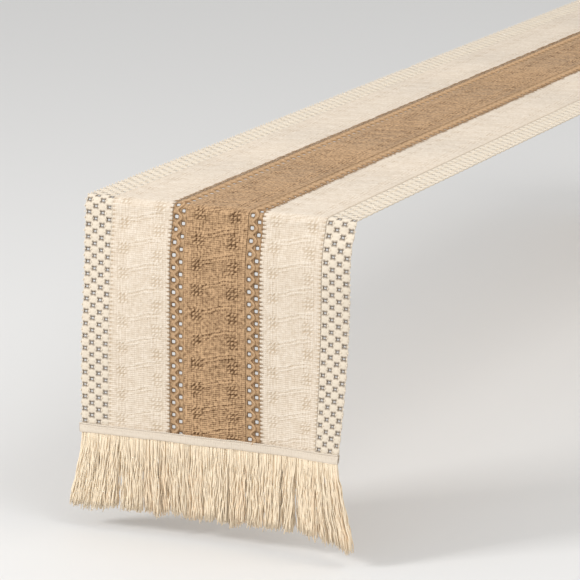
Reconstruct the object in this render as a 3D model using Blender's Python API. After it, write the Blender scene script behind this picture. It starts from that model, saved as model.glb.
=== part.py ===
"""Woven cotton and jute table runner with fringed ends, lying across a table.

Frame: +Z up, the runner's length along Y, its width along X. The table's
surface is z = 0 and the origin is the middle of the cloth's underside there.
The front end hangs at -Y and the back end at +Y.
"""

import math

import bmesh
import bpy

# Driving sizes, in metres.
RUNNER_LENGTH = 2.286  # tip of one fringe to tip of the other, laid out flat
RUNNER_WIDTH = 0.305
LATTICE_WIDTH = 0.0315  # open lattice along each long edge
CREAM_WIDTH = 0.0695  # close-woven cream band beside it
LADDER_WIDTH = 0.016  # openwork ladder that borders the tan centre
CLOTH_THICKNESS = 0.0022  # close-woven bands
OPENWORK_THICKNESS = 0.0016  # lattice and ladder
DROP_HEIGHT = 0.236  # table surface down to the header tape
TAPE_HEIGHT = 0.010
TAPE_WALL = 0.0007  # one layer of the folded tape
TAPE_FOLD = 0.0017  # the tape's lower edge, solid with the fringe's yarn heads sewn in
FRINGE_LENGTH = 0.088
FRINGE_ROOT_RADIUS = 0.0012  # rounded heading that the fringe hangs from
FRINGE_TIP_THICKNESS = 0.006
THREAD_THICKNESS = 0.0004
THREAD_WIDTH = 0.0006
THREAD_INSET = 0.003  # stitching stops this far from the tape's ends

# Clearances, in metres.
GAP = 0.0003  # between pieces that touch
ROOT_STEPS = 10  # facets round the fringe's heading

# The table's edges are where the cloth turns down, one each side of the origin.
HANG_LENGTH = DROP_HEIGHT + TAPE_HEIGHT + FRINGE_LENGTH
EDGE = RUNNER_LENGTH / 2 - HANG_LENGTH
CLOTH_END = -DROP_HEIGHT - TAPE_HEIGHT + TAPE_FOLD + GAP  # height of the raw end in the tape
CENTRE_WIDTH = RUNNER_WIDTH - 2 * (LATTICE_WIDTH + CREAM_WIDTH + LADDER_WIDTH) - 6 * GAP

# Bands from left to right: name, width, thickness, colour.
CREAM = (0.87, 0.80, 0.68)
TAN = (0.52, 0.36, 0.21)
BANDS = [
    ("left_lattice", LATTICE_WIDTH, OPENWORK_THICKNESS, CREAM),
    ("left_cream_band", CREAM_WIDTH, CLOTH_THICKNESS, CREAM),
    ("left_ladder", LADDER_WIDTH, OPENWORK_THICKNESS, TAN),
    ("centre_tan_band", CENTRE_WIDTH, CLOTH_THICKNESS, TAN),
    ("right_ladder", LADDER_WIDTH, OPENWORK_THICKNESS, TAN),
    ("right_cream_band", CREAM_WIDTH, CLOTH_THICKNESS, CREAM),
    ("right_lattice", LATTICE_WIDTH, OPENWORK_THICKNESS, CREAM),
]


def clear_scene():
    for obj in list(bpy.data.objects):
        bpy.data.objects.remove(obj, do_unlink=True)


def fabric(name, colour, roughness):
    """A matte cloth material of one colour."""
    material = bpy.data.materials.new(name)
    material.use_nodes = True
    shader = material.node_tree.nodes["Principled BSDF"]
    shader.inputs["Base Color"].default_value = (*colour, 1.0)
    shader.inputs["Roughness"].default_value = roughness
    shader.inputs["Metallic"].default_value = 0.0
    return material


def hinge_line(name, y, z):
    """An empty on a line along X about which cloth swings."""
    empty = bpy.data.objects.new(name, None)
    empty.location = (0, y, z)
    bpy.context.scene.collection.objects.link(empty)
    return empty


def extruded(name, outline, x_low, x_high, material, parent=None):
    """Extrudes a closed outline of (y, z) points across the runner, from x_low to x_high.

    The outline is in world places. Under a parent, the mesh is measured from the parent.
    """
    shift = parent.location if parent else (0, 0, 0)
    shape = bmesh.new()
    corners = [shape.verts.new((x_low, y - shift[1], z - shift[2])) for y, z in outline]
    side = shape.faces.new(corners)
    swept = bmesh.ops.extrude_face_region(shape, geom=[side])
    moved = [item for item in swept["geom"] if isinstance(item, bmesh.types.BMVert)]
    bmesh.ops.translate(shape, verts=moved, vec=(x_high - x_low, 0, 0))
    bmesh.ops.recalc_face_normals(shape, faces=shape.faces)
    mesh = bpy.data.meshes.new(name)
    shape.to_mesh(mesh)
    shape.free()
    mesh.materials.append(material)
    piece = bpy.data.objects.new(name, mesh)
    bpy.context.scene.collection.objects.link(piece)
    piece.parent = parent
    return piece


def rectangle(y_low, y_high, z_low, z_high):
    return [(y_low, z_low), (y_high, z_low), (y_high, z_high), (y_low, z_high)]


def band_places():
    """Each band's name, left side, right side, thickness and colour, with a gap between bands."""
    x = -RUNNER_WIDTH / 2
    for name, width, thickness, colour in BANDS:
        yield name, x, x + width, thickness, colour
        x += width + GAP


def make_top():
    """The stretch that lies on the table. It stops a gap short of each edge, where it turns down."""
    reach = EDGE - GAP
    for name, left, right, thickness, colour in band_places():
        node = "top_" + name
        outline = rectangle(-reach, reach, 0, thickness)
        extruded(node, outline, left, right, fabric(node, colour, 0.9))


def outward(side, outline):
    """Turns an outline of (distance out from the table's edge, z) to the front or back end."""
    return [(side * (EDGE + out), z) for out, z in outline]


def make_drop(end, side):
    """The cloth that hangs from one edge, with its header tape and the tape's stitching."""
    fold = hinge_line(end + "_fold_line", side * EDGE, 0)
    for name, left, right, thickness, colour in band_places():
        node = f"{end}_drop_{name}"
        outline = rectangle(0, thickness, CLOTH_END, -GAP)
        extruded(node, outward(side, outline), left, right, fabric(node, colour, 0.9), fold)
    make_tape(end, side, fold)
    make_stitching(end, side, fold)


def tape_faces():
    """The folded tape's inner and outer faces, as distances out from the table's edge."""
    return -GAP - TAPE_WALL, CLOTH_THICKNESS + GAP + TAPE_WALL


def make_tape(end, side, fold):
    """A strip folded up round the cloth's raw end, open at the top."""
    inner, outer = tape_faces()
    top = -DROP_HEIGHT
    bottom = top - TAPE_HEIGHT
    floor = bottom + TAPE_FOLD
    outline = [
        (inner, bottom),
        (outer, bottom),
        (outer, top),
        (outer - TAPE_WALL, top),
        (outer - TAPE_WALL, floor),
        (inner + TAPE_WALL, floor),
        (inner + TAPE_WALL, top),
        (inner, top),
    ]
    node = end + "_header_tape"
    half = RUNNER_WIDTH / 2
    extruded(node, outward(side, outline), -half, half, fabric(node, CREAM, 0.85), fold)


def make_stitching(end, side, fold):
    """The row of thread that holds the tape, on its outer face."""
    out = tape_faces()[1] + GAP
    middle = -DROP_HEIGHT - TAPE_HEIGHT / 2
    low, high = middle - THREAD_WIDTH / 2, middle + THREAD_WIDTH / 2
    outline = rectangle(out, out + THREAD_THICKNESS, low, high)
    half = RUNNER_WIDTH / 2 - THREAD_INSET
    node = end + "_tape_stitching"
    extruded(node, outward(side, outline), -half, half, fabric(node, CREAM, 0.7), fold)


def make_fringe(end, side):
    """The fringe, a wedge that widens to its tips, hung from a round heading under the tape."""
    middle = sum(tape_faces()) / 2
    heading = -DROP_HEIGHT - TAPE_HEIGHT - GAP - FRINGE_ROOT_RADIUS
    tip = -HANG_LENGTH
    line = hinge_line(end + "_fringe_line", side * (EDGE + middle), heading)
    turns = [math.pi * step / ROOT_STEPS for step in range(ROOT_STEPS + 1)]
    heading_arc = [
        (middle + FRINGE_ROOT_RADIUS * math.cos(turn), heading + FRINGE_ROOT_RADIUS * math.sin(turn))
        for turn in turns
    ]
    half = FRINGE_TIP_THICKNESS / 2
    outline = heading_arc + [(middle - half, tip), (middle + half, tip)]
    node = end + "_fringe"
    width = RUNNER_WIDTH / 2
    extruded(node, outward(side, outline), -width, width, fabric(node, CREAM, 0.95), line)


clear_scene()
make_top()
for end, side in (("front", -1), ("back", 1)):
    make_drop(end, side)
    make_fringe(end, side)
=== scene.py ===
import math

import bpy
import numpy as np
from mathutils import Matrix, Vector


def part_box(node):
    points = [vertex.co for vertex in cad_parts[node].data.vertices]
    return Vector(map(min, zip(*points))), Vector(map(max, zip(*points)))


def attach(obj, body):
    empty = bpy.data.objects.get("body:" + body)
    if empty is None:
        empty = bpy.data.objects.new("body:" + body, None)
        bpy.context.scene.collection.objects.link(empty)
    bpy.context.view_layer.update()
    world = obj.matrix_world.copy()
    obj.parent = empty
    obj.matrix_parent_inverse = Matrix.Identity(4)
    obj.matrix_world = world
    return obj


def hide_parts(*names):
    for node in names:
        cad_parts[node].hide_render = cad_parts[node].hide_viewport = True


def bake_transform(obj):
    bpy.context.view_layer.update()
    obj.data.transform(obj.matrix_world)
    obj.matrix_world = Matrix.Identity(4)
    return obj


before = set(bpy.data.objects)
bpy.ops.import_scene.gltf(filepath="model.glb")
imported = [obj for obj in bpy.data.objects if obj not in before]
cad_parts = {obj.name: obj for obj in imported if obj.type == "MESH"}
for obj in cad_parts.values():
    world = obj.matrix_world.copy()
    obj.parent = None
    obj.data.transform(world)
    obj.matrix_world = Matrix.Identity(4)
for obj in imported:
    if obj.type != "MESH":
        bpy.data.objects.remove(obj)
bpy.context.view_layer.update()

mm = 0.001
micron = 0.001 * mm
ends = {"front": -1.0, "back": 1.0}
bands = ["left_lattice", "left_cream_band", "left_ladder", "centre_tan_band",
         "right_ladder", "right_cream_band", "right_lattice"]

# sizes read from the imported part
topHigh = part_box("top_centre_tan_band")[1]
dropLow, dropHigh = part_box("front_drop_centre_tan_band")
tapeLow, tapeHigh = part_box("front_header_tape")
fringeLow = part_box("front_fringe")[0]
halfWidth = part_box("top_right_lattice")[1].x
midHeight = topHigh.z / 2
dropMid = (dropLow.y + dropHigh.y) / 2

cloth = {
    "foldRadius": 8 * mm,
    "rowPitch": 12.75 * mm,  # one hole of a lattice column, lengthwise, and half a woven figure
    "rowShift": 2 * mm,      # the lattice's last row lies this much nearer the tape
    "billow": 8 * mm,        # how far the drop swings out just under the fold
    "billowDepth": 30 * mm,
    "lean": 7 * mm,          # more of it by the bottom
    "drawnIn": 9 * mm,       # the front right corner, towards the middle and up
    "drawnUp": 3 * mm,
    "drawnFrom": 0.3,        # in half widths
    "spread": 2 * mm,        # the back drop's corners, outwards
    # the curves that the curls below use
    "late": (0.2, 0.45),     # begins at this share of the drop and grows over that share
    "swell": (0.15, 0.15),   # place and reach, in shares of the drop
    "shoulder": (10 * mm, 40 * mm),    # how soon it stands out and how far down it fades
    "shiftFade": (100 * mm, 7 * mm),   # where rowShift fades, at the middle and at the tape
    # over this distance past the fold, the openwork's painted shade at its holes is lifted, as light reaches
    # them on the table
    "fadeOnTable": 20 * mm,  # how far past the fold the openwork takes its look on the table
}
flatLength = -dropMid - cloth["foldRadius"]
arcLength = cloth["foldRadius"] * math.pi / 2
dropDepth = midHeight - cloth["foldRadius"] - dropLow.z
clothLength = flatLength + arcLength + dropDepth
# whole rows of holes between the middle and each tape
cloth["rowPitch"] = clothLength / round(clothLength / cloth["rowPitch"])
cloth["repeat"] = 2 * cloth["rowPitch"]
print("cloth runs", round(clothLength, 4), "m from the middle to each tape")

# places where a drop stands further out or in: where across it, in half widths, and how much
# of each curve of dropCurves
curls = {
    -1.0: [
        {"place": -1.05, "reach": 0.45, "sizes": {"bottom": 2 * mm, "late": 7.4 * mm, "early": -4.4 * mm}},
        {"place": 0.4, "reach": 0.35, "sizes": {"bottom": -4 * mm}},
        {"place": 1.05, "reach": 0.35,
         "sizes": {"bottom": 8 * mm, "corner": 3 * mm, "swell": 2.5 * mm, "shoulder": 6.5 * mm}},
    ],
    1.0: [
        {"place": 1.05, "reach": 0.5, "sizes": {"bottom": 5 * mm}},
        {"place": -0.2, "reach": 0.5, "sizes": {"bottom": -4 * mm}},
    ],
}


# one at the centre, falling off as exp(-x^2) with x counted in reaches
def hump(value, centre, reach):
    return np.exp(-((value - centre) / reach) ** 2)


# 3t^2 - 2t^3
def eased(t):
    return t * t * (3 - 2 * t)


# how a drop's stand-out grows from the fold (v = 0) to the tape (v = 1)
def dropCurves(down):
    v = down / dropDepth
    early = 1 - hump(down, 0, cloth["billowDepth"])
    lateFrom, lateOver = cloth["late"]
    shoulderRise, shoulderReach = cloth["shoulder"]
    return {
        "even": v,
        "bottom": v ** 2,
        "corner": v ** 4,
        "late": eased(np.clip((v - lateFrom) / lateOver, 0, 1)),
        "early": early,
        "swell": early * hump(v, *cloth["swell"]),
        "shoulder": (1 - hump(down, 0, shoulderRise)) * hump(down, 0, shoulderReach),
    }


# how far the drop stands out from the table's edge: an early swell, a steady lean, and the
# sum over its curls of a hump across times curves down
def dropLean(across, down, end):
    curves = dropCurves(down)
    lean = cloth["billow"] * curves["early"] + cloth["lean"] * curves["even"]
    for curl in curls[end]:
        size = sum(amount * curves[name] for name, amount in curl["sizes"].items())
        lean = lean + hump(across / halfWidth, curl["place"], curl["reach"]) * size
    return lean


# cloth coordinates to space: straight along the table, a quarter turn, then down, with
# the height laid off along the surface's normal
def clothPoints(across, along, height, end):
    turn = np.clip((along - flatLength) / cloth["foldRadius"], 0, math.pi / 2)
    down = np.maximum(along - flatLength - arcLength, 0)
    step = 0.2 * mm
    lean = dropLean(across, down, end)
    leanAcross = (dropLean(across + step, down, end) - lean) / step
    leanDown = (dropLean(across, down + step, end) - lean) / step
    normal = np.stack([-leanAcross * np.sin(turn), np.sin(turn), np.cos(turn) + leanDown * np.sin(turn)], -1)
    normal /= np.linalg.norm(normal, axis=-1, keepdims=True)
    v = down / dropDepth
    u = across / halfWidth
    if end < 0:
        rightSide = v ** 2 * np.clip((u - cloth["drawnFrom"]) / (1 - cloth["drawnFrom"]), 0, 1) ** 2
        sideways = -cloth["drawnIn"] * rightSide
        lift = cloth["drawnUp"] * rightSide
    else:
        sideways = cloth["spread"] * v ** 2 * u
        lift = 0
    x = across + sideways
    y = np.minimum(along, flatLength) + cloth["foldRadius"] * np.sin(turn) + lean
    z = midHeight - cloth["foldRadius"] * (1 - np.cos(turn)) - down + lift
    points = np.stack([x, y, z], -1) + normal * height[..., None]
    points[..., 1] *= end
    return points


# one where the cloth lies on the table, fading to nothing at the fold
def onTable(along):
    return np.clip((flatLength - along) / cloth["fadeOnTable"], 0, 1)


# rows pushed towards the tape, fading out at both ends of the strip
def shifted(along, shift):
    atMiddle, atTape = cloth["shiftFade"]
    return along + shift * (1 - hump(clothLength - along, 0, atTape)) * (1 - hump(along, 0, atMiddle))


# one mesh from points and lists of faces, with flat cloth coordinates as its UV map and the
# weave's height, from -1 to 1, as an attribute, which the finish turns into painted light on raised yarn and
# painted shade on sunk yarn
def buildPiece(name, points, faces, uv, relief, material):
    mesh = bpy.data.meshes.new(name)
    corners = np.concatenate([f.ravel() for f in faces]).astype(np.int32)
    counts = np.concatenate([np.full(len(f), f.shape[1]) for f in faces])
    starts = np.concatenate([[0], np.cumsum(counts)[:-1]]).astype(np.int32)
    mesh.vertices.add(len(points))
    mesh.vertices.foreach_set("co", points.astype(np.float32).ravel())
    mesh.loops.add(len(corners))
    mesh.loops.foreach_set("vertex_index", corners)
    mesh.polygons.add(len(starts))
    mesh.polygons.foreach_set("loop_start", starts)
    mesh.update(calc_edges=True)
    mesh.validate()
    layer = mesh.uv_layers.new(name="flat")
    layer.data.foreach_set("uv", uv[corners].astype(np.float32).ravel())
    attribute = mesh.attributes.new("relief", "FLOAT", "POINT")
    attribute.data.foreach_set("value", relief.astype(np.float32))
    mesh.shade_smooth()
    mesh.materials.append(material)
    piece = bpy.data.objects.new(name, mesh)
    bpy.context.scene.collection.objects.link(piece)
    return piece


# the faces turned to point outwards, by the sign of the volume they enclose: the sum over
# their triangles of a . (b x c)
def outward(points, faces):
    volume = 0
    for f in faces:
        for k in range(1, f.shape[1] - 1):
            volume += np.einsum("ij,ij->", points[f[:, 0]], np.cross(points[f[:, k]], points[f[:, k + 1]]))
    return [f[:, ::-1] for f in faces] if volume < 0 else faces


# several parts, each (points, faces, flat coordinates, relief), as one piece
def joined(name, parts, material):
    first = np.cumsum([0] + [len(part[0]) for part in parts])
    faces = [f + first[n] for n, part in enumerate(parts) for f in outward(part[0], part[1])]
    points, uv, relief = (np.concatenate([part[k] for part in parts]) for k in (0, 2, 3))
    return buildPiece(name, points, faces, uv, relief, material)


# quads of a grid of rows by columns
def gridFaces(rows, columns, first=0):
    index = first + np.arange(rows * columns).reshape(rows, columns)
    return np.stack([index[:-1, :-1], index[:-1, 1:], index[1:, 1:], index[1:, :-1]], -1).reshape(-1, 4)


# tubes along paths, closed at both ends, as one part of a piece: rings of radius times
# (beside cos a + third sin a) about each path point. path is (tubes, steps, 3), radius and the
# flat coordinates across and along are (tubes, steps), and spread is their step from side to side
def tubePart(path, radius, up, across, along, relief, sides=5, spread=(0, 0)):
    tangent = np.gradient(path, axis=1)
    tangent /= np.linalg.norm(tangent, axis=-1, keepdims=True)
    beside = np.cross(tangent, np.asarray(up, float))
    beside /= np.linalg.norm(beside, axis=-1, keepdims=True)
    third = np.cross(beside, tangent)
    side = np.arange(sides)
    turn = side * 2 * math.pi / sides
    ring = beside[:, :, None, :] * np.cos(turn)[:, None] + third[:, :, None, :] * np.sin(turn)[:, None]
    points = path[:, :, None, :] + ring * radius[:, :, None, None]
    shape = points.shape[:3]
    index = np.arange(points.size // 3).reshape(shape)
    near = np.roll(index, -1, axis=2)
    quads = np.stack([index[:, :-1], index[:, 1:], near[:, 1:], near[:, :-1]], -1).reshape(-1, 4)
    caps = np.concatenate([index[:, 0], index[:, -1, ::-1]])
    flat = np.stack([np.broadcast_to(across[..., None] + side * spread[0], shape),
                     np.broadcast_to(along[..., None] + side * spread[1], shape)], -1)
    relief = np.broadcast_to(np.asarray(relief, float)[..., None], shape)
    return points.reshape(-1, 3), [quads, caps], flat.reshape(-1, 2), relief.ravel()


# smooth random heights on a grid: a table of random numbers at each whole scale, blended
# between its four neighbours with eased weights
def smoothNoise(a, b, scale, seed):
    local = np.random.default_rng(seed)
    size = 64
    table = local.uniform(-1, 1, (size, size))
    p = a / scale
    q = b / scale
    i = np.floor(p).astype(int)
    j = np.floor(q).astype(int)
    f = eased(p - i)
    g = eased(q - j)

    def corner(m, n):
        return table[(i + m) % size, (j + n) % size]

    near = corner(0, 0) * (1 - f) + corner(1, 0) * f
    far = corner(0, 1) * (1 - f) + corner(1, 1) * f
    return near * (1 - g) + far * g


# light and shade are the colours of raised and sunk yarn, the darker one painted shade in the
# hollows; speckle the share of fine mottling and fine that of the crossing yarns, which lie
# across and along apart and depth high. A twist slants the yarns along instead
finishes = {
    "cream_weave": {
        "light": (0.82, 0.725, 0.61), "shade": (0.52, 0.40, 0.275), "roughness": 0.88, "sheen": 0.20,
        "speckle": 0.5, "fine": 0.10, "across": 2.1 * mm, "along": 2.12 * mm, "depth": 0.25 * mm},
    "cream_lattice": {
        "light": (0.82, 0.72, 0.585), "shade": (0.25, 0.19, 0.14), "roughness": 0.88, "sheen": 0.20,
        "speckle": 0.4, "fine": 0.06, "across": 1.2 * mm, "along": 1.2 * mm, "depth": 0.25 * mm},
    "tan_weave": {
        "light": (0.595, 0.382, 0.213), "shade": (0.105, 0.052, 0.02), "roughness": 0.85, "sheen": 0.13,
        "speckle": 1.25, "fine": 0.16, "across": 2.1 * mm, "along": 2.12 * mm, "depth": 0.3 * mm},
    "tan_ladder": {
        "light": (0.62, 0.41, 0.235), "shade": (0.14, 0.072, 0.028), "roughness": 0.85, "sheen": 0.04,
        "speckle": 0.8, "fine": 0.05, "across": 1.2 * mm, "along": 1.2 * mm, "depth": 0.3 * mm},
    "header_tape": {
        "light": (0.76, 0.665, 0.55), "shade": (0.50, 0.40, 0.30), "roughness": 0.9, "sheen": 0.15,
        "speckle": 0.7, "fine": 0.14, "across": 1.3 * mm, "along": 0.9 * mm, "depth": 0.12 * mm},
    "fringe_yarn": {
        "light": (0.98, 0.83, 0.625), "shade": (0.93, 0.65, 0.40), "roughness": 0.9, "sheen": 0.15,
        "speckle": 0.7, "fine": 0.14, "across": 1.0 * mm, "along": 2.2 * mm, "depth": 0.2 * mm,
        "twist": 1.4 * mm},
    "sewing_thread": {
        "light": (0.86, 0.79, 0.68), "shade": (0.65, 0.55, 0.42), "roughness": 0.8, "sheen": 0.15,
        "speckle": 0.7, "fine": 0.14, "across": 0.6 * mm, "along": 0.8 * mm, "depth": 0.1 * mm},
}
# shared by all of them
yarn = {
    "hairScale": 330,        # of the fine mottling, with its detail
    "hairDetail": 3,
    "cloudScale": 28,        # of the broad mottling
    "cloudDetail": 2,
    "cloudShare": 0.12,
    "wander": 2.2,           # how far the fine mottling pushes the yarns, in radians
    "weftShare": 0.6,
    "ramp": (0.05, 0.75),    # where the shade ends and the full light begins
    "bump": 0.8,
    "hairBump": 1.2,
    "roughVariation": 0.12,
    "sheenRoughness": 0.5,
    "sheenColour": 0.4,      # the power of the light colour that tints it
    "specular": 0.2,
}


# a yarn finish: tone = half the relief, which paints shade on low yarn and light on high yarn, +
# crossing sines of both yarns + fine and broad mottling, turned to colour by a ramp, with bump from the
# yarns and the fine mottling
def yarnMaterial(name, look):
    material = bpy.data.materials.new(name)
    material.use_nodes = True
    tree = material.node_tree
    tree.nodes.clear()
    link = tree.links.new

    def node(kind, **values):
        made = tree.nodes.new(kind)
        for key, value in values.items():
            setattr(made, key, value)
        return made

    def maths(operation, a, b=0.0):
        made = node("ShaderNodeMath", operation=operation)
        for socket, value in zip(made.inputs, (a, b)):
            if isinstance(value, (int, float)):
                socket.default_value = value
            else:
                link(value, socket)
        return made.outputs[0]

    def add(*terms):
        total = terms[0]
        for term in terms[1:]:
            total = maths("ADD", total, term)
        return total

    def times(value, factor):
        return maths("MULTIPLY", value, factor)

    flat = node("ShaderNodeUVMap", uv_map="flat").outputs["UV"]

    def mottling(scale, detail):
        made = node("ShaderNodeTexNoise")
        made.inputs["Scale"].default_value = scale
        made.inputs["Detail"].default_value = detail
        link(flat, made.inputs["Vector"])
        return made.outputs["Fac"]

    parts = node("ShaderNodeSeparateXYZ")
    link(flat, parts.inputs[0])
    hair = mottling(yarn["hairScale"], yarn["hairDetail"])
    cloud = mottling(yarn["cloudScale"], yarn["cloudDetail"])
    phaseAlong = times(parts.outputs["Y"], 2 * math.pi / look["along"])
    phaseAcross = times(parts.outputs["X"], 2 * math.pi / look["across"])
    wander = times(hair, yarn["wander"])
    slant = times(parts.outputs["X"], 2 * math.pi / look["twist"]) if "twist" in look else wander
    weft = maths("SINE", add(phaseAlong, slant))
    warp = maths("SINE", add(phaseAcross, wander))
    woven = add(times(weft, yarn["weftShare"]), times(warp, 1 - yarn["weftShare"]))
    relief = node("ShaderNodeAttribute", attribute_name="relief").outputs["Fac"]
    # the relief attribute gives the painted light and shade of the tone
    tone = add(times(relief, 0.5), 0.5, times(woven, look["fine"]),
               times(add(hair, -0.5), look["speckle"]), times(add(cloud, -0.5), yarn["cloudShare"]))
    ramp = node("ShaderNodeValToRGB")
    for stop, place, colour in zip(ramp.color_ramp.elements, yarn["ramp"], (look["shade"], look["light"])):
        stop.position = place
        stop.color = (*colour, 1)
    link(tone, ramp.inputs["Fac"])
    bump = node("ShaderNodeBump")
    bump.inputs["Strength"].default_value = yarn["bump"]
    bump.inputs["Distance"].default_value = look["depth"]
    link(add(woven, times(hair, yarn["hairBump"])), bump.inputs["Height"])
    shader = node("ShaderNodeBsdfPrincipled")
    shader.inputs["Sheen Weight"].default_value = look["sheen"]
    shader.inputs["Sheen Roughness"].default_value = yarn["sheenRoughness"]
    shader.inputs["Sheen Tint"].default_value = (*np.power(look["light"], yarn["sheenColour"]), 1)
    shader.inputs["Specular IOR Level"].default_value = yarn["specular"]
    rough = add(times(hair, yarn["roughVariation"]), look["roughness"] - yarn["roughVariation"] / 2)
    link(rough, shader.inputs["Roughness"])
    link(ramp.outputs["Color"], shader.inputs["Base Color"])
    link(bump.outputs["Normal"], shader.inputs["Normal"])
    output = node("ShaderNodeOutputMaterial")
    link(shader.outputs["BSDF"], output.inputs["Surface"])
    return material


materials = {name: yarnMaterial(name, look) for name, look in finishes.items()}
print("finishes made:", len(materials))

# the close-woven bands
ground = {
    "rowStep": 1.07 * mm,
    "columnStep": 1.2 * mm,
    "body": 0.95 * mm,           # from the cloth's middle to its faces
    # its relief, and with it its painted light and shade, is this much stronger
    "tanGain": 1.3,              # the tan yarn stands this much higher
    "underShare": 0.4,           # how much of the relief shows underneath
    "nodulePlace": 20 * mm,      # the nodules' columns, from the band's middle
    "noduleReach": 6.2 * mm,
    "noduleAcross": 4.2 * mm,    # from one to the next of its three
    "noduleSize": (2.3 * mm, 1.2 * mm),
    "noduleHeight": 0.75 * mm,
    "noduleRise": (1.35, 0.5),   # its hump, less how far the patch round it sinks
    "edge": 0.4 * mm,            # how softly a figure begins
    # before the raw end: the last figure, and how much lower its right nodules hang
    "figures": {"left": (16.5 * mm, 5 * mm), "centre": (7.5 * mm, 0.6 * mm), "right": (7.5 * mm, 2.5 * mm)},
    "slubPlace": 9.8 * mm,       # the double slub line over each figure, and its rise to the right
    "slubRise": 0.2,
    "slubWidth": 0.75 * mm,
    "slubs": ((0, 1.0), (3.8 * mm, 0.8)),    # each line's place and its share of the height
    "slubGroove": (1.5 * mm, 0.9),
    "slubHeight": 0.55 * mm,
    "slubBeyond": 5 * mm,        # past the nodules' columns
    "slubWave": (0.8 * mm, 7 * mm),
    "slubBead": 3.1 * mm,
    "borders": {"left": ("lattice", "ladder"), "centre": ("none", "none"), "right": ("ladder", "lattice")},
    "borderRib": {"ladder": 0.55 * mm, "lattice": 0.20 * mm, "none": 0},
    "borderReach": {"ladder": 2.6 * mm, "lattice": 5 * mm, "none": 1 * mm},
    "selvedge": (1.5 * mm, 0.12 * mm),       # the centre band's raised edges
    "fineRib": 0.13 * mm,        # single wefts, in dashes
    "brick": 4.3 * mm,
    "warpRib": 0.10 * mm,
    "warpPitch": 3.6 * mm,
    "eyelet": 0.6 * mm,          # small holes along the lattice
    "eyeletPlace": (1.6 * mm, 0.9 * mm),
    "loose": ((2.3 * mm, 0.14 * mm), (9 * mm, 0.05 * mm)),   # scale and height of unevenness
    "shake": (5 * mm, 0.5 * mm),             # scale and size of the figures' unevenness
    "patch": 7 * mm,                         # scale of areas with stronger and weaker yarns
    # at this height the yarn is painted fully light; lower yarn is painted darker, as shade
    "fullTone": 0.6 * mm,                    # the height at which the yarn is lightest
}


# the signed distance to the nearest of rows this far apart
def folded(value, pitch):
    return np.mod(value + pitch / 2, pitch) - pitch / 2


# one inside the limit and nothing outside, as 1 / (1 + e^x)
def within(distance, limit):
    return 1 / (1 + np.exp((distance - limit) / ground["edge"]))


# tilted nodules three by three: long humps in cells that follow the figure's rows. The patch
# round them sinks and, through the relief's tone, is painted dark as their shade
def nodules(u, q, side, shake, near):
    long, short = ground["noduleSize"]
    raised, sunk = ground["noduleRise"]
    cellU = folded(side + shake, ground["noduleAcross"])
    cellQ = folded(q + shake, cloth["repeat"] / 6)
    lengthwise = cellU * np.sign(u) - cellQ
    crosswise = cellU * np.sign(u) + cellQ
    return near * (hump(lengthwise, 0, long) * hump(crosswise, 0, short) * raised - sunk)


# the double slub line: a ridge and a groove beside it, along lines that rise to the right
# and wave a little, beaded by the warp. Through the relief's tone the groove is painted dark, as the ridge's
# shadow
def slubLines(u, s, figure, shake, patch):
    grooveAway, grooveShare = ground["slubGroove"]
    waveSize, waveScale = ground["slubWave"]
    total = 0
    for offset, share in ground["slubs"]:
        away = folded(s + figure + ground["slubPlace"] + ground["slubRise"] * u - offset
                      + shake * 1.5 + waveSize * np.sin(u / waveScale), cloth["repeat"])
        groove = grooveShare * hump(away, grooveAway, ground["slubWidth"])
        total = total + share * (hump(away, 0, ground["slubWidth"]) - groove)
    inside = np.abs(u) < ground["nodulePlace"] + ground["slubBeyond"]
    beads = 0.6 + 0.55 * np.cos(2 * math.pi * u / ground["slubBead"])
    return total * inside * (0.85 + 0.3 * patch) * beads


# height of a close-woven band over its body: nodules at both sides, the slub line from the
# left ones to the right ones of the figure above, dashes of single wefts between, warp ribs,
# and heavy ribs and eyelets along the borders. s counts up to nothing at the raw end. The height
# also sets the tone, so every dip, the eyelets too, is painted darker as shade
def groundRelief(u, s, width, which, seed):
    repeat = cloth["repeat"]
    rib = repeat / 6
    figure, lower = ground["figures"][which]
    side = np.abs(u) - ground["nodulePlace"]
    shakeScale, shakeSize = ground["shake"]
    shake = smoothNoise(u, s, shakeScale, seed + 2) * shakeSize
    patch = smoothNoise(u + 3, s, ground["patch"], seed + 4)
    q = folded(s + figure - lower * (u > 0), repeat)
    near = within(np.abs(side), ground["noduleReach"]) * within(np.abs(q), 1.5 * rib)
    warped = (np.abs(side) < ground["noduleReach"] + 0.3 * mm) * (1 - near)
    brick = np.cos(2 * math.pi * u / ground["brick"])
    dashes = np.cos(4 * math.pi * s / rib) * (0.75 + 0.6 * brick * patch)
    warp = np.cos(2 * math.pi * u / ground["warpPitch"]) * (0.4 + warped + 0.5 * patch)
    height = ground["fineRib"] * dashes * (1 - 0.6 * warped) + ground["warpRib"] * warp
    height = height + ground["noduleHeight"] * nodules(u, q, side, shake, near)
    height = height + ground["slubHeight"] * slubLines(u, s, figure, shake, patch)
    for way, kind in zip((-1, 1), ground["borders"][which]):
        inside = width / 2 - way * u
        heavy = hump(inside, 0, ground["borderReach"][kind])
        height = height + ground["borderRib"][kind] * heavy * np.cos(2 * math.pi * s / rib)
        if kind == "none":
            reach, raised = ground["selvedge"]
            height = height + raised * hump(inside, 0, reach)
        if kind == "lattice":
            hole = hump(inside, *ground["eyeletPlace"])
            height = height - ground["eyelet"] * hole * (0.5 - 0.5 * np.cos(2 * math.pi * s / rib)) ** 2
    for k, (scale, size) in enumerate(ground["loose"]):
        height = height + smoothNoise(u + k, s, scale, seed + k) * size
    return height


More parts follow.
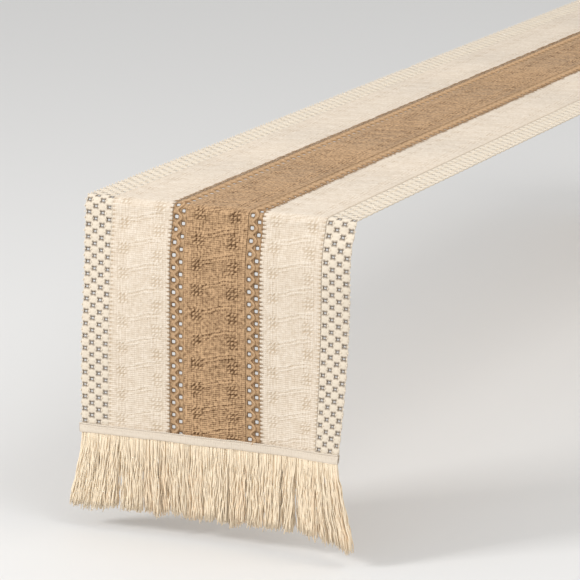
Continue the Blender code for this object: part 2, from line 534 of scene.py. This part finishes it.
# a close-woven band as a shell: a fine outer grid, an under grid of every second row and
# column, and a rim joining them
def makeGround(name, lowX, highX, end, material, seed, gain, which):
    width = highX - lowX
    middle = (lowX + highX) / 2
    columns = 2 * round(width / ground["columnStep"] / 2) + 1
    rows = 2 * round(clothLength / ground["rowStep"] / 2) + 1
    u = np.linspace(-width / 2, width / 2, columns)[None, :] + np.zeros((rows, 1))
    s = np.linspace(0, clothLength, rows)[:, None] + np.zeros((1, columns))
    relief = groundRelief(u, s - clothLength, width, which, seed) * gain
    underU, underS, underRelief = (grid[::2, ::2] for grid in (u, s, relief))
    outer = clothPoints(u + middle, s, ground["body"] + relief, end)
    under = clothPoints(underU + middle, underS, -ground["body"] - underRelief * ground["underShare"], end)
    upper = np.arange(rows * columns).reshape(rows, columns)
    lower = upper.size + np.arange(underU.size).reshape(underU.shape)

    def rim(a, b):
        return np.stack([a[:-2:2], b[:-1], b[1:], a[2::2], a[1:-1:2]], -1)

    faces = [gridFaces(rows, columns), gridFaces(*underU.shape, upper.size)[:, ::-1],
             rim(upper[0], lower[0]), rim(upper[-1], lower[-1])[:, ::-1],
             rim(upper[:, 0], lower[:, 0])[:, ::-1], rim(upper[:, -1], lower[:, -1])]
    points = np.concatenate([outer.reshape(-1, 3), under.reshape(-1, 3)])
    uv = np.concatenate([np.stack([u, s], -1).reshape(-1, 2), np.stack([underU, underS], -1).reshape(-1, 2)])
    # the height as tone: sunk yarn painted as shade, raised yarn as light
    tone = np.concatenate([relief.ravel(), underRelief.ravel()]) / ground["fullTone"]
    return buildPiece(name, points, outward(points, faces), uv, np.clip(tone, -1, 1), material)


# the openwork strips
openwork = {
    "lattice": {
        "across": 3.2 * mm,     # mean half width of a hole, and half length
        "along": 2.25 * mm,
        "pinch": 0.34,          # how far its four sides bow in
        "lip": 0.42,            # how far its edge closes in at the cloth's middle
        "body": 0.6 * mm,
        "bead": 0.45 * mm,      # extra height of the yarn knots between holes
        # the low tones at the hole's edge and on its lip are painted shade, standing for the dark seen
        # through the holes
        "tones": (0.25, 0.65, -0.2, -1.1),   # from the middle of the yarn to the hole's edge
        # on the table light reaches into the holes, so the painted shade there is lifted to no darker than
        # this
        "shadeLimitOnTable": 0.35,        # the darkest of them on the table
        "scallop": 0.6 * mm,    # how far the knots stand out at the runner's edge
        "loop": 0.8 * mm,       # radius of the small loops beside the holes
        "loopLift": 1.0 * mm,
        "loopJitter": (0.5 * mm, 0.4 * mm),
        "loopOut": 0.5 * mm,    # how much further out those along the runner's edge stand
    },
    "ladder": {
        "across": 3.05 * mm,
        "along": 2.8 * mm,
        "pinch": 0.10,
        "lip": 0.64,
        "body": 0.6 * mm,
        "bead": 0.5 * mm,
        # the low tones at the hole's edge and on its lip are painted shade, as in the lattice
        "tones": (0.0, 0.2, -0.2, -0.55),
        "shadeLimitOnTable": -0.1,
        "scallop": 0,
    },
}


# whole numbers that are the same for points in the same micron. The odd share keeps round
# sizes away from a micron's limits
def microns(values):
    return np.round(values / micron + 0.2137).astype(np.int64)


# the walls between open edges of the outer face and the same edges of the under face
def edgeWalls(flat, faceLists):
    fan = np.concatenate([np.stack([f, np.roll(f, -1, axis=1)], -1).reshape(-1, 2) for f in faceLists])
    _, which, times = np.unique(np.sort(fan, axis=1), axis=0, return_index=True, return_counts=True)
    openEdges = fan[which[times == 1]]
    where = microns(flat[openEdges][:, :, :2])
    lying = (where[:, 0] != where[:, 1]).any(1)
    openEdges = openEdges[lying]
    where = where[lying]
    swap = (where[:, 0, 0] * 10**7 + where[:, 0, 1]) > (where[:, 1, 0] * 10**7 + where[:, 1, 1])
    where[swap] = where[swap][:, ::-1]
    upper = flat[openEdges][:, :, 2].mean(1) > 0
    order = np.lexsort(np.concatenate([upper[None], where.reshape(-1, 4).T[::-1]]))
    pairs = openEdges[order].reshape(-1, 2, 2)
    return np.concatenate([pairs[:, 1, ::-1], pairs[:, 0, ::-1]], 1)


# a strip of columns of four-lobed holes, neighbouring columns half a pitch apart. Each hole
# is seven rings of points, from its tile's edge over the outer face, through the hole and
# back on the under face. A ring is share x tile's edge + (1 - share) x hole, whose outline is
# (across cos a, along sin a) (1 - pinch cos 4a). Each ring carries a tone: painted shade at the hole's edge
# and lip, lifted where the strip lies on the table, and painted light on the knots
def makeOpenwork(lowX, highX, columnCount, end, seed, look, shift):
    local = np.random.default_rng(seed)
    pitch = cloth["rowPitch"]
    wide = (highX - lowX) / columnCount
    holes = round(clothLength / pitch) + 1
    j = np.arange(24)
    angle = j * math.pi / 12
    # the tile's edge, counter-clockwise from the middle of its right side
    edgeX = np.interp(j, [0, 4, 8, 16, 20, 24], [1, 1, -1, -1, 1, 1]) * wide / 2
    edgeS = np.interp(j, [0, 4, 8, 16, 20, 24], [0, 1, 1, -1, -1, 0]) * pitch / 2
    share = np.array([1, 0.45, 0.13, 0, 0.13, 0.45, 1])[:, None]
    face = np.array([1, 1, 0.75, 0, -0.75, -1, -1])[:, None]
    column, row = np.meshgrid(np.arange(columnCount), np.arange(holes), indexing="ij")
    centreX = (lowX + wide * (column.ravel() + 0.5))[:, None, None]
    centreS = (clothLength - (row.ravel() + 0.5 * (column.ravel() % 2)) * pitch)[:, None, None]
    reach = local.uniform(0.9, 1.1, centreX.shape) * (1 - look["pinch"] * np.cos(4 * angle))
    lip = np.where(share == 0, look["lip"], 1)
    x = centreX + np.cos(angle) * reach * look["across"] * lip * (1 - share) + edgeX * share
    s = centreS + np.sin(angle) * reach * look["along"] * lip * (1 - share) + edgeS * share
    checker = np.cos(math.pi * (x - centreX) / wide) * np.cos(2 * math.pi * (s - centreS) / pitch)
    knot = np.clip(-checker, 0, 1)
    height = face * (look["body"] + look["bead"] * knot)
    # painted light on the raised knots and painted shade at the holes' edges; on the table that shade is
    # lifted, as light reaches into the holes
    tone = np.array([*look["tones"], *look["tones"][-2::-1]])[:, None] + 0.25 * knot
    tone = tone + (np.maximum(tone, look["shadeLimitOnTable"]) - tone) * onTable(s)
    index = np.arange(x.size).reshape(x.shape)
    near = np.roll(index, -1, axis=2)
    quads = np.stack([index[:, :-1], near[:, :-1], near[:, 1:], index[:, 1:]], -1).reshape(-1, 4)
    middle = s.reshape(-1)[quads].mean(1)
    quads = quads[(middle > 0) & (middle < clothLength)]
    # a hole cut in half at an end of the strip gets a cap each side
    atStart = np.abs(centreS[:, 0, 0]) < micron
    atEnd = np.abs(centreS[:, 0, 0] - clothLength) < micron
    caps = np.concatenate([index[atStart, :, 0], index[atStart, ::-1, 12],
                           index[atEnd, :, 12], index[atEnd, ::-1, 0]])
    # neighbours share their tiles' edges
    flat = np.stack([x, s, height, tone], -1).reshape(-1, 4)
    _, first, place = np.unique(microns(flat[:, :3]), axis=0, return_index=True, return_inverse=True)
    place = place.reshape(-1)
    quads = place[quads]
    caps = place[caps]
    used, renumber = np.unique(np.concatenate([quads.ravel(), caps.ravel()]), return_inverse=True)
    flat = flat[first][used]
    caps = renumber[quads.size:].reshape(-1, 7)
    quads = renumber[:quads.size].reshape(-1, 4)
    walls = edgeWalls(flat, [quads, caps])
    if look["scallop"]:
        outer = lowX if lowX < 0 else highX
        wave = np.cos(2 * math.pi * (flat[:, 1] - clothLength) / pitch) * (1 if lowX < 0 else -1)
        flat[:, 0] -= np.sign(outer) * (np.abs(flat[:, 0] - outer) < 10 * micron) * look["scallop"] * wave
    flat[:, 1] = shifted(flat[:, 1], shift)
    points = clothPoints(flat[:, 0], flat[:, 1], flat[:, 2], end)
    return points, outward(points, [quads, caps, walls]), flat[:, :2], flat[:, 3]


# a lattice strip: four columns of holes, with a small loop of yarn beside each one and
# more of them standing out along the runner's edge. A loop is a ball drawn as a short tube of
# radius loop x sqrt(1 - t^2)
def makeLattice(name, lowX, highX, end, material, seed, shift):
    look = openwork["lattice"]
    openPart = makeOpenwork(lowX, highX, 4, end, seed, look, shift)
    wide = (highX - lowX) / 4
    pitch = cloth["rowPitch"]
    count = int((clothLength - 12 * mm) / pitch)
    row = clothLength - (np.arange(count) + 1) * pitch
    edge = lowX if lowX < 0 else highX
    x = np.repeat([lowX + wide, lowX + wide, lowX + 3 * wide, lowX + 3 * wide, edge, edge], count)
    s = np.concatenate([row, row + pitch / 2] * 3)
    local = np.random.default_rng(seed + 9)
    jitterX, jitterS = look["loopJitter"]
    out = np.sign(edge) * look["loopOut"] * (np.abs(x - edge) < micron)
    x = x + local.uniform(-1, 1, x.shape) * jitterX + out
    s = shifted(s + local.uniform(-1, 1, s.shape) * jitterS, shift)
    t = np.linspace(-0.95, 0.95, 4)
    across = x[:, None] + 0 * t
    along = s[:, None] + 0 * t
    path = clothPoints(across, along + look["loop"] * t, np.full(across.shape, look["loopLift"]), end)
    radius = look["loop"] * np.sqrt(1 - t ** 2) + 0 * across
    loops = tubePart(path, radius, (0.9, 0.2, 0.3), across, along, 0.9)
    return joined(name, [openPart, loops], material)


snake = {
    "radius": 1.2 * mm,
    "swing": 2.5 * mm,
    "lift": 1.5 * mm,      # over the cloth's middle
    "sunk": 0.7 * mm,      # lower than that on the table
    "step": 1.08 * mm,
    "sides": 8,
    "ends": (0.5 * mm, 0.2 * mm),    # short of the runner's middle and of the tape
}
teeth = {
    "length": 4.3 * mm,
    "uneven": (0.45, 1.15),
    "radius": 0.5 * mm,
    "pitch": cloth["rowPitch"] / 3,
    "height": (1.75 * mm, 0.45 * mm),    # at the border, and lost by the tip
    "jitter": (0.5 * mm, 0.4 * mm),      # of the root and of the tip, lengthwise
    "clear": 1.2 * mm,                   # the last ones' distance from the tape
}
tapeTop = clothLength + dropLow.z - tapeHigh.z
tapeBottom = clothLength + dropLow.z - tapeLow.z
tapeHeight = tapeBottom - tapeTop


# a ladder strip: two columns of holes, one thick yarn between them along
# middle + swing cos(2 pi s / pitch), and short tan ends reaching into the cream beside it
def makeLadder(name, lowX, highX, end, material, seed, outside, shift):
    parts = [makeOpenwork(lowX, highX, 2, end, seed, openwork["ladder"], shift)]
    steps = int(clothLength / snake["step"])
    s = np.linspace(snake["ends"][0], tapeTop - snake["ends"][1], steps)
    # it goes round the right of each hole of the left column
    x = (lowX + highX) / 2 + snake["swing"] * np.cos(2 * math.pi * (s - clothLength) / cloth["rowPitch"])
    s = shifted(s, shift)
    path = clothPoints(x, s, snake["lift"] - snake["sunk"] * onTable(s), end)[None]
    parts.append(tubePart(path, np.full((1, steps), snake["radius"]), (1, 0, 0), x[None], s[None], 0.7,
                          sides=snake["sides"], spread=(0.9 * mm, 0)))
    count = int(clothLength / teeth["pitch"])
    local = np.random.default_rng(seed + 5)
    rootJitter, tipJitter = teeth["jitter"]
    at = clothLength - (np.arange(count) + 0.5) * teeth["pitch"] + local.uniform(-1, 1, count) * rootJitter
    at = np.minimum(at, tapeTop - teeth["clear"])
    t = np.linspace(-0.3, 1, 5)
    beyond = np.clip(t, 0, 1)
    length = teeth["length"] * local.uniform(*teeth["uneven"], (count, 1))
    x = (lowX if outside < 0 else highX) + outside * t * length
    s = at[:, None] + local.uniform(-1, 1, (count, 1)) * tipJitter * t
    high, lost = teeth["height"]
    path = clothPoints(x, np.clip(s, 0, clothLength), high - lost * beyond ** 2 + 0 * x, end)
    radius = teeth["radius"] * (1.15 - 0.75 * beyond) + 0 * x
    parts.append(tubePart(path, radius, (0.1, 1, 0.7), x, s, -0.35, sides=4))
    return joined(name, parts, material)


tape = {
    # past the cloth's edges, left and right
    "overhang": {"front": (2.0 * mm, 0.6 * mm), "back": (1.0 * mm, 1.0 * mm)},
    "step": 1.0 * mm,
    "rib": 0.10 * mm,
    "wave": 0.35 * mm,
    "waveScale": 9 * mm,
    # the folded cross-section: out from the cloth's middle, and the share of the height down
    "outer": [(1.5, 0), (1.85, 0.03), (2.0, 0.25), (2.1, 0.55), (2.0, 0.82), (1.4, 0.96), (0, 1.02),
              (-1.4, 0.96), (-2.0, 0.82), (-2.1, 0.55), (-2.0, 0.25), (-1.85, 0.03), (-1.5, 0)],
    "inner": [(-1.35, 0.1), (-1.45, 0.5), (-1.3, 0.8), (0, 0.86), (1.3, 0.8), (1.45, 0.5), (1.35, 0.1)],
    # the inner point across the wall from each outer one
    "opposite": [19, 19, 18, 18, 17, 17, 16, 15, 15, 14, 14, 13, 13],
    "cordRadius": 0.75 * mm,
    "cordPitch": 2.2 * mm,
    "cordPlace": (0.3 * mm, 2.0 * mm),   # down from the top and out from the cloth's middle
    "cordEnds": 0.3 * mm,    # short of the tape's ends
    "cordWander": (4 * mm, 0.25 * mm),
    "turn": 4 * mm,          # of its flat width, taken up by the fold
    "ends": 2 * mm,          # of its flat length, past the cloth
}


# a tape folded round the cloth's end: the cross-section carried across the width, with a
# beaded cord along its top edge
def makeTape(name, endName, end, material):
    left, right = tape["overhang"][endName]
    count = round((2 * halfWidth + left + right) / tape["step"]) + 1
    across = np.linspace(-halfWidth - left, halfWidth + right, count)
    profile = np.array(tape["outer"] + tape["inner"])
    isOuter = np.arange(len(profile)) < len(tape["outer"])
    out = profile[:, 0] * mm
    down = profile[:, 1] * tapeHeight
    x = across[:, None] + 0 * out
    wave = smoothNoise(across, 0 * across + end, tape["waveScale"], 31)[:, None] * tape["wave"]
    ribs = tape["rib"] * np.cos(math.pi * x / tape["step"]) * np.sign(out) * isOuter
    s = tapeTop + down + wave * (down / tapeHeight)
    h = out + ribs
    index = np.arange(x.size).reshape(x.shape)
    near = np.roll(index, -1, axis=1)
    quads = np.stack([index[:-1], near[:-1], near[1:], index[1:]], -1).reshape(-1, 4)
    # each end of the fold is closed between its outer and inner faces
    closing = {3: [], 4: []}
    for k, flip in ((0, False), (count - 1, True)):
        for a in range(len(tape["outer"]) - 1):
            d, c = tape["opposite"][a:a + 2]
            corner = [index[k, a], index[k, a + 1], index[k, c], index[k, d]][:3 if c == d else 4]
            closing[len(corner)].append(corner[::-1] if flip else corner)
    faces = [quads, np.array(closing[3]), np.array(closing[4])]
    flat = np.stack([x, s + h], -1).reshape(-1, 2)
    # the ribs' tops painted light and their grooves painted shade
    relief = np.clip(0.5 + ribs.ravel() / (2 * tape["rib"]), -1, 1)
    parts = [(clothPoints(x, s, h, end).reshape(-1, 3), faces, flat, relief)]
    steps = count * 2
    inset, outFromCloth = tape["cordPlace"]
    wanderScale, wanderSize = tape["cordWander"]
    x = np.linspace(across[0] + tape["cordEnds"], across[-1] - tape["cordEnds"], steps)
    s = tapeTop + inset + smoothNoise(x, x * 0, wanderScale, 12) * wanderSize
    path = clothPoints(x, s, np.full(steps, outFromCloth), end)[None]
    bead = tape["cordRadius"] * (1 + 0.35 * np.cos(2 * math.pi * x / tape["cordPitch"]))
    parts.append(tubePart(path, bead[None], (0, 0, 1), x[None], s[None], 0.9, sides=6, spread=(0, 1 * mm)))
    return joined(name, parts, material)


thread = {
    "inset": 3 * mm,
    "pitch": 3.2 * mm,
    "stitch": 2.2 * mm,
    "radius": 0.28 * mm,
    "ends": 4 * mm,                    # no stitches in the outermost part of the tape
    "height": (1.75 * mm, 0.65 * mm),  # where a stitch dips into the tape, and its rise
}


# a row of single stitches on each face, each a short tube at low + rise sqrt(1 - t^2)
def makeThread(name, end, material):
    count = int((2 * halfWidth - thread["ends"]) / thread["pitch"])
    start = (np.arange(count) - (count - 1) / 2) * thread["pitch"]
    t = np.linspace(-1, 1, 7)
    low, rise = thread["height"]
    parts = []
    for face in (1, -1):
        x = start[:, None] + t * thread["stitch"] / 2
        s = tapeTop + thread["inset"] + 0 * x
        path = clothPoints(x, s, face * (low + rise * (1 - t ** 2) ** 0.5) + 0 * x, end)
        parts.append(tubePart(path, np.full(x.shape, thread["radius"]), (0, 0, 1), x, s, 0.6))
    return joined(name, parts, material)


fringe = {
    "yarns": 1950,
    "steps": 11,
    "sides": 3,
    "radius": 0.6 * mm,
    "thinner": (0.95, 0.8),        # from this share of its length a yarn has this share of its radius
    "rootInset": 0.5 * mm,         # from the cloth's edges
    "tuck": 1.2 * mm,              # how far up into the tape the roots lie
    "layers": (0.8 * mm, 2.6 * mm),    # the fringe's half thickness at the root, and its gain by the tips
    "length": 79 * mm,
    "longer": (13 * mm, 5 * mm),   # the front fringe's right and left corners
    "uneven": 4 * mm,
    "lockWidth": 9.5 * mm,
    "lockMixing": 1.6 * mm,        # how far yarns near a lock's border stray to the next lock
    "lockOut": 3 * mm,             # how far a whole lock may stand out, sway and hang lower
    "lockSway": 2 * mm,
    "lockLonger": 3.5 * mm,
    "stray": (0.12, 5 * mm),       # the share of yarns that leave their lock, and how far
    "bend": 30 * mm,               # how far below the tape it has turned as far as its joint
    "pull": 0.30,
    "waves": (1.2, 3.4),           # along one yarn
    "swing": (0.3, 1.3),           # of those waves, in millimetres
    "flare": {"front": (20 * mm, 17 * mm), "back": (11 * mm, 12 * mm)},
    "widest": 15.5 * mm,           # no yarn stands further out than this past the cloth's edges
}


# yarns hanging from inside the fold, t from 0 at the root to 1 at the tip: each one falls
# straight down, is drawn towards the middle of its lock, waves as a sine, and spreads
# outwards at both sides of the fringe as t^1.3
def makeFringe(name, endName, end, material, seed):
    local = np.random.default_rng(seed)
    count = fringe["yarns"]
    rootReach = halfWidth - fringe["rootInset"]
    root = np.sort(local.uniform(-rootReach, rootReach, count))
    layer = local.uniform(-1, 1, count)
    locks = np.cumsum(local.uniform(0.7, 1.3, 200)) * fringe["lockWidth"]
    locks = locks[locks < 2 * halfWidth + 10 * mm] - halfWidth - 5 * mm
    nearest = np.abs(root[:, None] + local.normal(0, fringe["lockMixing"], (count, 1)) - locks).argmin(1)
    lock = locks[nearest]
    lockOut = local.uniform(-1, 1, len(locks))[nearest] * fringe["lockOut"]
    lockSway = local.normal(0, 1, len(locks))[nearest] * fringe["lockSway"]
    lockLong = local.uniform(-1, 1, len(locks))[nearest] * fringe["lockLonger"]
    u = root / halfWidth
    length = fringe["length"] + lockLong + local.normal(0, 0.5, count) * fringe["uneven"]
    if end < 0:
        rightLonger, leftLonger = fringe["longer"]
        length = length + np.clip((u - 0.6) / 0.4, 0, 1) ** 2 * rightLonger
        length = length + np.clip((-u - 0.8) / 0.2, 0, 1) * leftLonger
    t = np.linspace(0, 1, fringe["steps"] + 1)[None]
    left, right = fringe["flare"][endName]
    spread = right * np.clip(2 * u - 1, 0, 1) ** 1.6 - left * np.clip(-2 * u - 1, 0, 1) ** 1.6
    drawn = np.sin(np.clip(t * 1.5, 0, 1) * math.pi / 2)
    pull = fringe["pull"] * drawn * local.uniform(0.6, 1.15, (count, 1))
    phase = local.uniform(0, 2 * math.pi, (count, 4))
    waves = local.uniform(*fringe["waves"], (count, 2))
    swing = local.uniform(*fringe["swing"], (count, 2)) * mm
    grow = np.clip(t * 4, 0, 1)

    def wave(k):
        return swing[:, k, None] * np.sin(2 * math.pi * waves[:, k, None] * t + phase[:, k, None]) * grow

    strayShare, strayAway = fringe["stray"]
    stray = (local.uniform(0, 1, count) < strayShare) * local.normal(0, 1, count) * strayAway
    x = root[:, None] + (lock - root)[:, None] * pull + spread[:, None] * t ** 1.3
    x = x + lockSway[:, None] * t ** 1.5 + wave(0) + stray[:, None] * t ** 1.2
    x = np.clip(x, -halfWidth - fringe["widest"], halfWidth + fringe["widest"])
    rootLayer, tipLayer = fringe["layers"]
    out = layer[:, None] * tipLayer * np.sqrt(t) + lockOut[:, None] * t + wave(1)
    down = length[:, None] * t
    base = clothPoints(root, np.full(count, tapeBottom - fringe["tuck"]), layer * rootLayer, end)
    path = np.stack([base[:, :1] + x - root[:, None], base[:, 1:2] + end * out, base[:, 2:] - down], -1)
    thinFrom, thinTo = fringe["thinner"]
    radius = fringe["radius"] * np.where(t > thinFrom, thinTo, 1.0) * local.uniform(0.8, 1.2, (count, 1))
    lockTone = local.uniform(-0.5, 0.35, len(locks))[nearest][:, None]
    # tone differs at random by yarn and by lock; yarns of the inner layers are painted darker, as painted
    # shade inside the fringe
    tone = local.normal(0.6, 0.2, (count, 1)) + lockTone * np.clip(2 * t, 0, 1) + layer[:, None] * 0.15
    across = root[:, None] * 3 + 0 * t
    return joined(name, [tubePart(path, radius, (0.3, 1, 0), across, down, np.clip(tone, -1, 1),
                                  sides=fringe["sides"], spread=(0.35 * mm, 0))], material)


cameraPlace = {
    "at": (1.4805, dropMid - 2.850, 0.7136),
    "azimuth": 26.17,
    "elevation": 13.95,
    "roll": -0.53,
    "lens": 202.7,
}


# turned about the upright, then tipped from straight down, then rolled
def makeCamera():
    data = bpy.data.cameras.new("camera")
    data.lens = cameraPlace["lens"]
    data.clip_end = 100
    camera = bpy.data.objects.new("camera", data)
    bpy.context.scene.collection.objects.link(camera)
    camera.matrix_world = Matrix.Translation(cameraPlace["at"]) \
        @ Matrix.Rotation(math.radians(cameraPlace["azimuth"]), 4, "Z") \
        @ Matrix.Rotation(math.radians(90 - cameraPlace["elevation"]), 4, "X") \
        @ Matrix.Rotation(math.radians(cameraPlace["roll"]), 4, "Z")
    bpy.context.scene.camera = camera


studio = {
    "floorGap": 16 * mm,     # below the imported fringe, and so clear of the lowest yarn
    "floorHalf": 60,
    "floorTone": (0.735, 0.73, 0.72),
    "floorDarker": 0.98,
    "skyStrength": 0.72,
    "lamps": [
        {"at": (-2.2, -3.0, 1.6), "to": (0, -0.7, -0.1), "size": 0.9, "power": 75},
        {"at": (2.4, -1.0, 3.0), "to": (0, -0.3, 0), "size": 2.5, "power": 50},
    ],
}


# a pale floor in two close tones, a white sky and two square lamps
def makeStudio():
    scene = bpy.context.scene
    world = bpy.data.worlds.new("studio")
    world.use_nodes = True
    sky = world.node_tree.nodes["Background"]
    sky.inputs["Color"].default_value = (1, 1, 1, 1)
    sky.inputs["Strength"].default_value = studio["skyStrength"]
    scene.world = world
    for number, lamp in enumerate(studio["lamps"]):
        data = bpy.data.lights.new(f"lamp{number}", "AREA")
        data.size = lamp["size"]
        data.energy = lamp["power"]
        made = bpy.data.objects.new(f"lamp{number}", data)
        scene.collection.objects.link(made)
        made.location = lamp["at"]
        direction = Vector(lamp["to"]) - Vector(lamp["at"])
        made.rotation_euler = direction.to_track_quat("-Z", "Y").to_euler()
    level = fringeLow.z - studio["floorGap"]
    far = studio["floorHalf"]
    mesh = bpy.data.meshes.new("floor")
    mesh.from_pydata([(-far, -far, level), (far, -far, level), (far, far, level), (-far, far, level)],
                     [], [(0, 1, 2, 3)])
    floor = bpy.data.objects.new("floor", mesh)
    scene.collection.objects.link(floor)
    material = bpy.data.materials.new("floor")
    material.use_nodes = True
    tree = material.node_tree
    shader = tree.nodes["Principled BSDF"]
    shader.inputs["Roughness"].default_value = 0.9
    place = tree.nodes.new("ShaderNodeTexCoord")
    cloudy = tree.nodes.new("ShaderNodeTexNoise")
    cloudy.inputs["Scale"].default_value = 0.4
    mix = tree.nodes.new("ShaderNodeValToRGB")
    mix.color_ramp.elements[0].color = (*[c * studio["floorDarker"] for c in studio["floorTone"]], 1)
    mix.color_ramp.elements[1].color = (*studio["floorTone"], 1)
    tree.links.new(place.outputs["Object"], cloudy.inputs["Vector"])
    tree.links.new(cloudy.outputs["Fac"], mix.inputs["Fac"])
    tree.links.new(mix.outputs["Color"], shader.inputs["Base Color"])
    mesh.materials.append(material)


slots = {
    "lattice": "cream_lattice",
    "cream_band": "cream_weave",
    "ladder": "tan_ladder",
    "tan_band": "tan_weave",
}


# one band from the middle of the runner to one tape
def makeBand(name, band, low, high, end, material, seed):
    outside = -1 if "left" in band else 1
    if "lattice" in band:
        return makeLattice(name, low, high, end, material, seed, cloth["rowShift"])
    if "ladder" in band:
        return makeLadder(name, low, high, end, material, seed, outside, outside * cloth["rowShift"])
    gain = ground["tanGain"] if "tan" in band else 1
    return makeGround(name, low, high, end, material, seed, gain, band.split("_")[0])


faceCount = 0
for endName, end in ends.items():
    for number, band in enumerate(bands):
        low, high = (corner.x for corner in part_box("top_" + band))
        slot = next(value for key, value in slots.items() if key in band)
        seed = 100 * number + (7 if end > 0 else 3)
        piece = makeBand(f"{band}_{endName}_half", band, low, high, end, materials[slot], seed)
        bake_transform(piece)
        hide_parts("top_" + band, f"{endName}_drop_{band}")
        faceCount += len(piece.data.polygons)
print("cloth woven:", faceCount, "faces")

for endName, end in ends.items():
    band = makeTape(endName + "_tape_fold", endName, end, materials["header_tape"])
    stitches = makeThread(endName + "_tape_thread", end, materials["sewing_thread"])
    seed = 41 if end < 0 else 43
    yarns = makeFringe(endName + "_fringe_yarns", endName, end, materials["fringe_yarn"], seed)
    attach(band, endName + "_drop")
    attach(stitches, endName + "_drop")
    # the drop leans out from the fringe's joint, so the yarns turn gradually under the tape
    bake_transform(yarns)
    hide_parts(endName + "_header_tape")
    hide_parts(endName + "_tape_stitching")
    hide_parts(endName + "_fringe")
    print(endName, "tape, stitches and fringe made")

bpy.context.scene.view_settings.view_transform = "Standard"
makeCamera()
makeStudio()
print("camera, floor and lamps placed")
